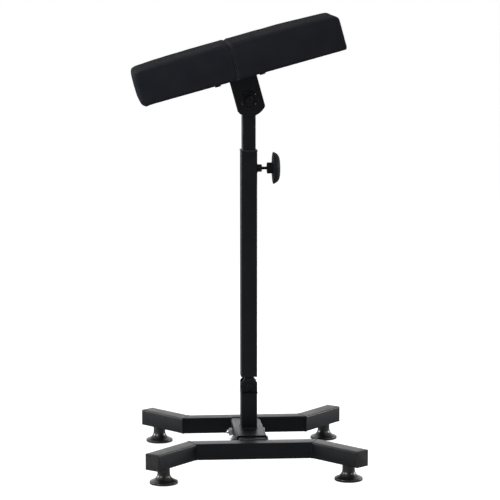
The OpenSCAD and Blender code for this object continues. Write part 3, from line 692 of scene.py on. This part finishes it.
def cushion_outline(drawn):
    """The cushion in plan, drawn in by that much: a rounded rectangle of which the front side and
    the right end take only a share of it, with its long sides bowed out by a parabola."""
    half_u = pad_half_length - drawn * (1 + right_share) / 2
    half_y = pad_half_depth - drawn * (1 + front_share) / 2
    front = max(front_corner - drawn * front_share, least_pad_corner)
    rear = max(rear_corner - drawn, least_pad_corner)
    points = []
    for quarter, (side_u, side_y) in enumerate([(1, 1), (-1, 1), (-1, -1), (1, -1)]):
        radius = front if side_y < 0 else rear
        turn = (quarter + np.linspace(0, 1, 7)) * math.pi / 2
        points.append(np.column_stack([side_u * (half_u - radius) + radius * np.cos(turn),
                                       side_y * (half_y - radius) + radius * np.sin(turn)]))
    points = np.concatenate(points)
    line, _ = even_walk(np.column_stack([points, np.zeros(len(points))]), outline_step, True)
    line = line[np.linspace(0, len(line) - 1, outline_points).astype(int), :2]
    line[:, 1] += pad_bow * np.clip(1 - (line[:, 0] / half_u) ** 2, 0, 1) * np.sign(line[:, 1])
    return line + [drawn * (1 - right_share) / 2, -drawn * (1 - front_share) / 2]


def cushion_rings(inset, rise):
    """Rings round the cushion, one for each inset and rise over the underside. The top falls with
    the square of the way beyond its level middle."""
    rings = []
    for drawn, height in zip(inset, rise):
        line = cushion_outline(drawn)
        beyond = np.clip(np.abs(line[:, 0]) - level_half, 0, 1) / (pad_half_length - level_half)
        fall = pad_fall * beyond ** 2 * (height / pad_thickness) ** 3
        rings.append(on_pad(line[:, 0] + pad_shift, line[:, 1], under + height - fall))
    return np.array(rings)


seam_place = -0.0142
seam_swing = 0.0032
seam_swing_rise = 0.085


def seam_lean(rise):
    """Place of the sewn seam along the pad: it leans to the right up to two thirds of the side,
    and comes back a little over the top, in a half wave."""
    return seam_place + seam_swing * np.sin(math.pi * np.clip(rise / seam_swing_rise, 0, 1))


# Leather grain: pebbles between the edges of wandering cells, with tiny pores on them.
wander = 0.0011
leather_cells, cells_in, cells_out = shader_group(
    "leather_grain", [("Cells", "Float", 800.0), ("Stretch", "Float", 0.3)],
    [("Height", "Float"), ("Crease", "Float")])
cells_place = add(leather_cells, "TexCoord").outputs["Object"]
cells_wander = add(leather_cells, "TexNoise", Scale=260.0, Detail=2.0)
cells_shift = add(leather_cells, "VectorMath", operation="MULTIPLY_ADD")
cells_shift.inputs[1].default_value = (wander, wander, wander)
cells = add(leather_cells, "TexVoronoi", feature="DISTANCE_TO_EDGE")
pebble = add(leather_cells, "MapRange", interpolation_type="SMOOTHSTEP")
pebble.inputs["From Max"].default_value = 0.22
tiny = noise(leather_cells, cells_place, 2600.0, 2.0)
pebble_sum = add(leather_cells, "Math", operation="MULTIPLY_ADD")
feed(leather_cells,
     (cells_place, cells_wander.inputs["Vector"]),
     (cells_wander.outputs["Color"], cells_shift.inputs[0]),
     (cells_place, cells_shift.inputs[2]),
     (cells_shift.outputs[0], cells.inputs["Vector"]),
     (cells_in.outputs["Cells"], cells.inputs["Scale"]),
     (cells.outputs["Distance"], pebble.inputs["Value"]),
     (tiny, pebble_sum.inputs[0]),
     (cells_in.outputs["Stretch"], pebble_sum.inputs[1]),
     (pebble.outputs["Result"], pebble_sum.inputs[2]),
     (pebble_sum.outputs[0], cells_out.inputs["Height"]),
     (pebble.outputs["Result"], cells_out.inputs["Crease"]))

new_finish("pad_leather", (0.0138, 0.0143, 0.0184), (0.017, 0.0176, 0.0219), 0.62, 0.72,
           60.0, 0.0003, Specular_IOR_Level=0.004)
leather_tree = finishes["pad_leather"].node_tree
leather_shader = leather_tree.nodes["Principled BSDF"]
grain = add(leather_tree, "Group", node_tree=leather_cells)
grain.inputs["Cells"].default_value = 780.0
grain_bump = add(leather_tree, "Bump", Strength=1.0, Distance=0.00009)
soft_bump = leather_shader.inputs["Normal"].links[0].from_node
feed(leather_tree,
     (grain.outputs["Height"], grain_bump.inputs["Height"]),
     (soft_bump.outputs["Normal"], grain_bump.inputs["Normal"]),
     (grain_bump.outputs["Normal"], leather_shader.inputs["Normal"]))


def settle(changed):
    """Gives the object the mesh that its modifiers leave, and takes the modifiers off."""
    seen = changed.evaluated_get(bpy.context.evaluated_depsgraph_get())
    changed.data = bpy.data.meshes.new_from_object(seen)
    changed.modifiers.clear()


def vertex_values(mesh, kind="co"):
    """The places of all vertices of a mesh as one array, or their normals."""
    values = np.empty(len(mesh.vertices) * 3)
    mesh.vertices.foreach_get(kind, values)
    return values.reshape(-1, 3)


# The start form is pressed out from inside as cloth, held by its hem.
cloth_cell = 0.004
hem_rise = 0.004
last_step = 20
most_swell = 0.005
start_rings = cushion_rings(pad_thickness * pad_profile[:, 0] + slack, pad_thickness * pad_profile[:, 1])
cushion = new_object("leather_cushion", new_mesh("cushion_start", *solid_of_rings(start_rings)))
remesh = cushion.modifiers.new("even_cloth", "REMESH")
remesh.mode = "VOXEL"
remesh.voxel_size = cloth_cell
settle(cushion)
before = vertex_values(cushion.data)
rise_before = (before - tilt_pivot) @ pad_up - under
held = cushion.vertex_groups.new(name="stapled_hem")
held.add(np.flatnonzero(rise_before < hem_rise).tolist(), 1.0, "REPLACE")
cloth = cushion.modifiers.new("vinyl", "CLOTH")
for setting, value in (("quality", 8), ("mass", 0.4), ("tension_stiffness", 40),
                       ("compression_stiffness", 12), ("shear_stiffness", 8), ("bending_stiffness", 2),
                       ("use_pressure", True), ("uniform_pressure_force", 0.5),
                       ("vertex_group_mass", "stapled_hem")):
    setattr(cloth.settings, setting, value)
cloth.settings.effector_weights.gravity = 0
cloth.point_cache.frame_start = 1
cloth.point_cache.frame_end = last_step
for step in range(1, last_step + 1):
    bpy.context.scene.frame_set(step)
settle(cushion)
bpy.context.scene.frame_set(1)
move = vertex_values(cushion.data) - before
distance = np.linalg.norm(move, axis=1)[:, None]
swollen = before + move * np.minimum(1, most_swell / np.maximum(distance, 1e-9))
cushion.data.vertices.foreach_set("co", swollen.ravel())
finer = cushion.modifiers.new("finer_cloth", "SUBSURF")
finer.levels = finer.render_levels = 1
settle(cushion)


def soft_noise(u, y, v, seed):
    """Sum of six slow waves in chosen directions, from -1 to 1, for puckers that never repeat."""
    draw = np.random.default_rng(seed)
    waves = draw.normal(size=(6, 3))
    phases = draw.uniform(0, 2 * math.pi, 6)
    return np.sin(u[:, None] * waves[:, 0] + y[:, None] * waves[:, 1] + v[:, None] * waves[:, 2]
                  + phases).mean(1)


def bell(distance, half):
    """Bell curve: one over e to the square of the distance over half."""
    return np.exp(-(distance / half) ** 2)


def wave(place, step, wander_by, wander_along):
    """Sine wave of that step, whose phase itself wanders as a sine."""
    return np.sin(place * 2 * math.pi / step + wander_by * np.sin(wander_along))


# Folds of the vinyl, each a height in metres times where it shows: the seam's furrow and
# shallow dip with a lip on both sides, stitch gathers, corner puckers, hem pulls, waves.
side_start = 0.003
furrow_depth, furrow_half = 0.0016, 0.0022
dip_depth, dip_half = 0.0006, 0.007
lip_height, lip_place, lip_half = 0.0005, 0.0055, 0.002
gather_height, gather_step, gather_half = 0.0004, 0.011, 0.012
pucker_height, pucker_count, pucker_reach, pucker_centre = 0.0011, 11, 0.016, 0.004
pull_height, pull_step, pull_reach = 0.00045, 0.026, 0.009
broad_height, broad_size = 0.0006, 0.022
small_height, small_size, small_rise = 0.0003, 0.009, 0.012
vinyl = vertex_values(cushion.data)
normals = vertex_values(cushion.data, "normal")
local = vinyl - tilt_pivot
u, y, v = local @ pad_along, local @ back_axis, local @ pad_up - under
end_left, end_right = pad_shift - pad_half_length, pad_shift + pad_half_length
seam_distance = u - seam_lean(v)
on_side = np.clip(v / side_start, 0, 1)
furrow = -furrow_depth * bell(seam_distance, furrow_half) - dip_depth * bell(seam_distance, dip_half)
lip = lip_height * bell(np.abs(seam_distance) - lip_place, lip_half)
gather = gather_height * wave(np.hypot(y, v), gather_step, 1.3, y * 90) * bell(seam_distance, gather_half)
to_end = np.minimum(np.abs(u - end_left), np.abs(u - end_right))
to_side = np.abs(np.abs(y) - pad_half_depth)
around = np.arctan2(to_side - pucker_centre, to_end - pucker_centre)
puckers = (pucker_height * np.sin(pucker_count * around + 7 * v / 0.02)
           * np.exp(-np.hypot(to_end, to_side) / pucker_reach) * np.exp(-v / pucker_reach))
hem_pulls = pull_height * wave(u, pull_step, 2, y * 60) * np.exp(-v / pull_reach)
slow = (broad_height * soft_noise(u / broad_size, y / broad_size, v / broad_size, 5)
        + small_height * soft_noise(u / small_size, y / small_size, v / small_rise, 8))
lift = stretched + on_side * (furrow + lip + gather + puckers + hem_pulls + slow)
vinyl = vinyl + lift[:, None] * normals

# The left end droops a little at its corners, the underside steps in behind its hem,
# and the left end's low edge is rounded off.
left_reach = 0.012
droop_depth, droop_width, droop_rise = 0.0016, 0.03, 0.01
hem_width = 0.03
recess_depth, recess_slope, recess_rise = 0.0009, 0.004, 0.0035
rounded_by, rounded_rise = 0.0045, 0.009
v = (vinyl - tilt_pivot) @ pad_up - under
at_left = bell(u - end_left, left_reach)
droop = droop_depth * at_left * bell(np.abs(y) - pad_half_depth, droop_width)
floor_line = -droop * np.clip(1 - v / droop_rise, 0, 1)
hem_edge = np.maximum(np.abs(u - pad_shift) - (pad_half_length - hem_width),
                      np.abs(y) - (pad_half_depth - hem_width))
recess = recess_depth * np.clip(-hem_edge / recess_slope, 0, 1) * np.clip(1 - v / recess_rise, 0, 1)
left_corner = rounded_by * np.clip(1 - v / rounded_rise, 0, 1) ** 2 * at_left
vinyl = vinyl + (recess + floor_line)[:, None] * pad_up + left_corner[:, None] * pad_along
cushion.data.vertices.foreach_set("co", vinyl.ravel())
cushion.data.update()
cushion.data.name = "leather_cushion"
cushion.data.materials.clear()
cushion.data.materials.append(finishes["pad_leather"])
cushion.data.shade_smooth()
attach(cushion, "pad")
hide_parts("pad_cover", "pad_foam")

# --- Backing cloth and staples ------------------------------------------------------
# A thin black non-woven cloth closes the underside. It is folded in at its edge and
# held by wire staples, between which it stands off a little.
new_finish("backing_cloth", (0.022, 0.022, 0.022), (0.035, 0.035, 0.035), 0.85, 0.95,
           2400.0, 0.00012)
backing_half = np.array([0.1655, 0.0715])
staple_gap = 0.022
folded_in = 0.011
folded_thick, single_thick = 0.0009, 0.0006
share_u, share_y = np.meshgrid(np.linspace(-1, 1, 133), np.linspace(-1, 1, 61), indexing="ij")
backing_u, backing_y = share_u * backing_half[0], share_y * backing_half[1]
from_end, from_side = backing_half[0] - np.abs(backing_u), backing_half[1] - np.abs(backing_y)
from_edge = np.minimum(from_end, from_side)
ripple_along = np.where(from_end < from_side, backing_y, backing_u)
slow = soft_noise((backing_u / 0.02).ravel(), (backing_y / 0.02).ravel(), 0 * backing_u.ravel(), 3)
backing_wave = (0.0003 * np.cos(ripple_along * 2 * math.pi / staple_gap) * np.exp(-from_edge / 0.006)
                + 0.00025 * slow.reshape(backing_u.shape))
backing_v = under - 0.0005 - np.clip(backing_wave, -0.0003, 0.0006)
backing_thick = np.where(from_edge < folded_in, folded_thick, single_thick)
lower = on_pad(backing_u + pad_shift, backing_y, backing_v - backing_thick / 2)
upper = on_pad(backing_u + pad_shift, backing_y, backing_v + backing_thick / 2)
rows, columns = backing_u.shape
sheet_faces = grid_faces(rows, columns)
count = rows * columns
border = ([k * columns for k in range(rows)] + [(rows - 1) * columns + k for k in range(1, columns)]
          + [k * columns + columns - 1 for k in range(rows - 2, -1, -1)] + list(range(columns - 2, 0, -1)))
faces = [[k + count for k in face] for face in sheet_faces] + [face[::-1] for face in sheet_faces]
faces += [[a, b, b + count, a + count] for a, b in zip(border, border[1:] + border[:1])]
backing = piece("backing_sheet", (np.concatenate([lower.reshape(-1, 3), upper.reshape(-1, 3)]), faces),
                "backing_cloth", "pad", ["pad_backing"], crease=60)

staple_inset = 0.005
staple_under = 0.0012
wire_width, wire_height = 0.00045, 0.0003
edge_u, edge_y = backing_half - staple_inset
staple_spots = ([(u_at, side * edge_y, 0) for u_at in np.arange(-7, 8) * staple_gap for side in (-1, 1)]
                + [(side * edge_u, y_at, math.pi / 2) for y_at in np.arange(-2, 3) * staple_gap
                   for side in (-1, 1)])
staple_line = np.array([(-0.005, 0.0012), (-0.005, 0.0002), (-0.0046, -0.0001), (0.0046, -0.0001),
                        (0.005, 0.0002), (0.005, 0.0012)])
wire_ring = np.array([(-wire_width, 0.0), (0, -wire_height), (wire_width, 0.0), (0, wire_height)])
staples = []
for spot_u, spot_y, turn_by in staple_spots:
    wire = []
    lengthwise = np.array([math.cos(turn_by), math.sin(turn_by)])
    sideways = np.array([-math.sin(turn_by), math.cos(turn_by)])
    for along, height in staple_line:
        ring = along * lengthwise + wire_ring[:, :1] * sideways
        wire.append(on_pad(spot_u + pad_shift + ring[:, 0], spot_y + ring[:, 1],
                           under - staple_under + height + wire_ring[:, 1]))
    staples.append(solid_of_rings(np.array(wire)))
piece("hem_staples", join(staples), "zinc_steel", "pad")

# --- Seam thread --------------------------------------------------------------------
# Charcoal polyester thread in 4 mm stitches along both sides of the seam, from the hem
# up the front, over the top and down the back.
new_finish("seam_thread", (0.035, 0.035, 0.038), (0.052, 0.052, 0.056), 0.6, 0.75,
           3000.0, 0.00004, Specular_IOR_Level=0.1)
stitch_step = 0.004
stitch_length = 0.0033
stitch_arch, stitch_sink = 0.0006, 0.0003
thread_radius = 0.00045
stitch_offset = 0.0016
first_stitch, last_gap = 0.004, 0.006
ray_start = 0.25
section_middle = 0.03
beyond_level = 0.62
look_from = np.linspace(-beyond_level, math.pi + beyond_level, 400)
vinyl_skin = BVHTree.FromPolygons(vinyl.tolist(), [tuple(face.vertices) for face in cushion.data.polygons])


def on_vinyl(beside):
    """Line over the cushion at that distance beside the seam: rays run in from around the
    section's middle, and where each meets the vinyl it gives a point and the way out."""
    spots, outward = [], []
    for angle in look_from:
        away_y, away_v = -math.cos(angle), math.sin(angle)
        ray = -(away_y * back_axis + away_v * pad_up)
        rise_guess = section_middle
        for _ in range(3):
            start_at = on_pad(seam_lean(rise_guess) + beside, ray_start * away_y,
                              under + section_middle + ray_start * away_v)
            hit, normal, _, _ = vinyl_skin.ray_cast(start_at.tolist(), ray.tolist())
            rise_guess = (np.array(hit) - tilt_pivot) @ pad_up - under
        spots.append(hit)
        outward.append(normal)
    return np.array(spots), np.array(outward)


stitches = []
share = np.linspace(0, 1, 6)
turn = (np.arange(6) * math.pi / 3)[:, None]
for beside in (-stitch_offset, stitch_offset):
    spots, outward = on_vinyl(beside)
    walked = length_walked(spots)
    for begin in np.arange(first_stitch, walked[-1] - last_gap, stitch_step):
        at = begin + stitch_length * share
        away = unit(at_length(at, walked, outward))
        middle_line = (at_length(at, walked, spots)
                       + (stitch_arch * np.sin(math.pi * share) - stitch_sink)[:, None] * away)
        along = unit(np.gradient(middle_line, axis=0))
        across = np.cross(along, away)
        stitches.append(solid_of_rings(middle_line[:, None] + thread_radius * (
            np.cos(turn) * across[:, None] + np.sin(turn) * np.cross(along, across)[:, None])))
piece("seam_stitches", join(stitches), "seam_thread", "pad", crease=thread_crease)

# --- Floor and light ----------------------------------------------------------------
# A plain pale floor in a studio whose wall is bright behind the stand and dim elsewhere.
# Two softboxes stand high in front, and two low at the stand's sides.
reach, drop = 25.0, -0.0004
lit_grey, seen_grey = (0.4, 0.4, 0.4, 1), (0.5, 0.5, 0.5, 1)
seen_glow = 0.79
pure_white = (1, 1, 1, 1)
floor_mesh = new_mesh("studio_floor", [(-reach, -reach, drop), (reach, -reach, drop), (reach, reach, drop),
                                       (-reach, reach, drop)], [(0, 1, 2, 3)])
floor = new_object("studio_floor", floor_mesh)
floor_paint = bpy.data.materials.new("floor_paint")
floor_paint.use_nodes = True
floor_tree = floor_paint.node_tree
floor_tree.nodes.clear()
plain = add(floor_tree, "BsdfDiffuse", Color=lit_grey)
bright = add(floor_tree, "BsdfDiffuse", Color=seen_grey)
glow = add(floor_tree, "Emission", Color=pure_white, Strength=seen_glow)
seen = add(floor_tree, "AddShader")
by_ray = add(floor_tree, "MixShader")
feed(floor_tree,
     (bright.outputs[0], seen.inputs[0]),
     (glow.outputs[0], seen.inputs[1]),
     (add(floor_tree, "LightPath").outputs["Is Camera Ray"], by_ray.inputs[0]),
     (plain.outputs[0], by_ray.inputs[1]),
     (seen.outputs[0], by_ray.inputs[2]),
     (by_ray.outputs[0], add(floor_tree, "OutputMaterial").inputs[0]))
floor_mesh.materials.append(floor_paint)

# The wall's light from a direction is the sum, over the three axes, of the square of
# its share along the axis times the level of that axis on the side it comes from.
wall_levels = (("X", 0.2, 0.25), ("Y", 0.2, 1.5), ("Z", 0.3, 0.3))
studio = bpy.data.worlds.new("studio")
bpy.context.scene.world = studio
studio.use_nodes = True
studio_tree = studio.node_tree
studio_tree.nodes.clear()
split = add(studio_tree, "SeparateXYZ")
feed(studio_tree, (add(studio_tree, "TexCoord").outputs["Generated"], split.inputs[0]))
level = 0.0
for axis, low_side, high_side in wall_levels:
    side = add(studio_tree, "Math", operation="GREATER_THAN")
    squared = add(studio_tree, "Math", operation="MULTIPLY")
    added = add(studio_tree, "Math", operation="MULTIPLY_ADD")
    feed(studio_tree,
         (split.outputs[axis], side.inputs[0]), (0.0, side.inputs[1]),
         (split.outputs[axis], squared.inputs[0]), (split.outputs[axis], squared.inputs[1]),
         (squared.outputs[0], added.inputs[0]),
         (between(studio_tree, side.outputs[0], low_side, high_side, 0, 1), added.inputs[1]),
         (level, added.inputs[2]))
    level = added.outputs[0]
studio_light = add(studio_tree, "Background", Color=pure_white)
white = add(studio_tree, "Background", Color=pure_white, Strength=1.0)
world_path = add(studio_tree, "LightPath")
seen_or_through = add(studio_tree, "Math", operation="MAXIMUM")
world_mix = add(studio_tree, "MixShader")
feed(studio_tree,
     (level, studio_light.inputs["Strength"]),
     (world_path.outputs["Is Camera Ray"], seen_or_through.inputs[0]),
     (world_path.outputs["Is Transmission Ray"], seen_or_through.inputs[1]),
     (seen_or_through.outputs[0], world_mix.inputs[0]),
     (studio_light.outputs[0], world_mix.inputs[1]),
     (white.outputs[0], world_mix.inputs[2]),
     (world_mix.outputs[0], add(studio_tree, "OutputWorld").inputs[0]))

lamp_size = 0.9
lit_place = (0, 0, 0.37)
for name, place, power in (("front_left_softbox", (-2.2, -1.8, 1.6), 56),
                           ("front_right_softbox", (2.2, -1.8, 1.6), 22),
                           ("side_left_softbox", (-2.4, 0.6, 0.7), 46),
                           ("side_right_softbox", (2.4, 0.6, 0.7), 46)):
    light = bpy.data.lights.new(name, "AREA")
    light.shape = "SQUARE"
    light.size = lamp_size
    light.energy = power
    lamp = new_object(name, light)
    lamp.location = place
    direction = np.array(lit_place) - place
    lamp.rotation_euler = (math.atan2(math.hypot(direction[0], direction[1]), -direction[2]), 0,
                           math.atan2(direction[1], direction[0]) - math.pi / 2)
    lamp.visible_camera = False

bpy.context.scene.view_settings.view_transform = "Standard"
